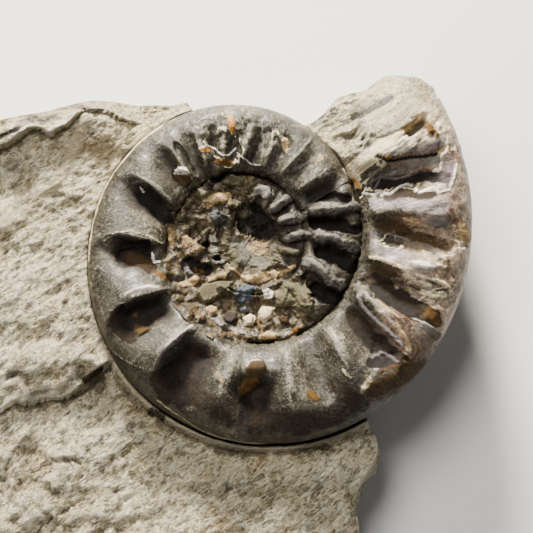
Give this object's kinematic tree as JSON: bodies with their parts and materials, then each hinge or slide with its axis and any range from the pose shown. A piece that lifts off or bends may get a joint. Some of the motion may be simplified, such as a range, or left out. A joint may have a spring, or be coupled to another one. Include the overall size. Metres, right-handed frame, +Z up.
{
  "type": "ammonite fossil",
  "caption": "Ribbed coiled fossil shell of dark calcite, set flat in a loose broken piece of pale limestone that it rests on.",
  "frame": {"origin": "on the matrix's flat base, straight below the pole of the coil", "axes": "+Z up along the coil's axis, away from the base; +Y towards the back edge of the matrix, the top of the picture; +X towards the side where the shell overhangs the matrix"},
  "size_m": [0.046, 0.0415, 0.0139],
  "materials": {
    "calcite_shell": "dark brown-grey calcite, semi-gloss, worn paler on the rib crests, with tan and white crystal chips",
    "limestone": "matt grey-beige limestone, rough and granular, with ochre stains and pale veins"
  },
  "bodies": {
    "root": {"ammonite": "calcite_shell", "matrix": "limestone"}
  },
  "joints": []
}
